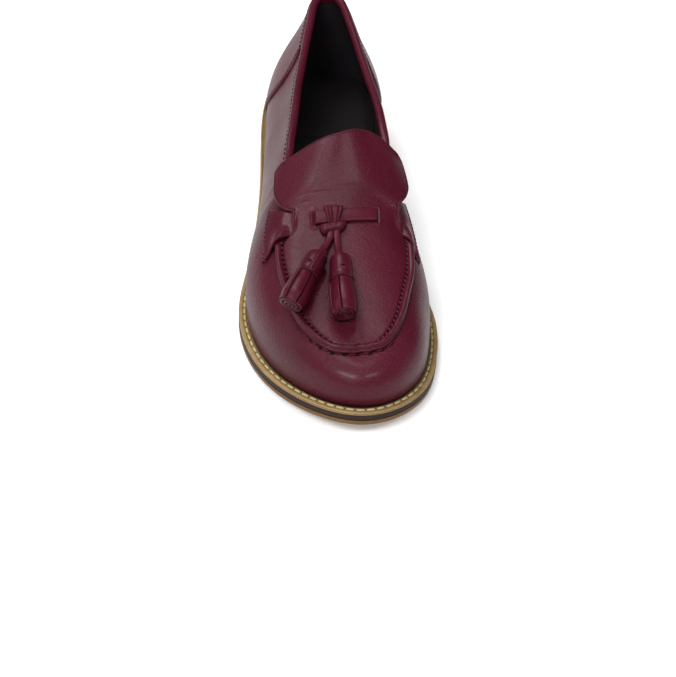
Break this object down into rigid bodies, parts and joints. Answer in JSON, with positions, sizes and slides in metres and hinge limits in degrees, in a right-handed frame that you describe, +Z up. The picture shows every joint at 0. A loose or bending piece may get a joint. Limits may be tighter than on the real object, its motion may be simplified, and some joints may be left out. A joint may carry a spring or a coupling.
{
  "type": "tassel loafer",
  "caption": "Low slip-on leather shoe for a right foot with a rolled apron seam, winged tongue, tied tassels, stitched welt and low block heel.",
  "frame": {"origin": "on the floor under the middle of the sole's length and width", "axes": "+Z up, +Y from toe to heel, +X towards the wearer's inner side"},
  "size_m": [0.094, 0.264, 0.0766],
  "materials": {
    "burgundy_leather": "satin",
    "tan_welt": "satin",
    "dark_midsole": "matte",
    "tan_outsole": "satin",
    "black_lining": "matte"
  },
  "bodies": {
    "root": {"outsole": "tan_outsole", "midsole": "dark_midsole", "welt": "tan_welt", "heel": "tan_outsole", "insole": "black_lining", "upper": "burgundy_leather", "apron": "burgundy_leather", "apron_roll": "burgundy_leather", "strap_lateral": "burgundy_leather", "strap_medial": "burgundy_leather", "heel_counter": "burgundy_leather", "collar_binding": "burgundy_leather", "lace_bar": "burgundy_leather", "knot": "burgundy_leather", "tassel_lateral": "burgundy_leather", "tassel_medial": "burgundy_leather"}
  },
  "joints": []
}
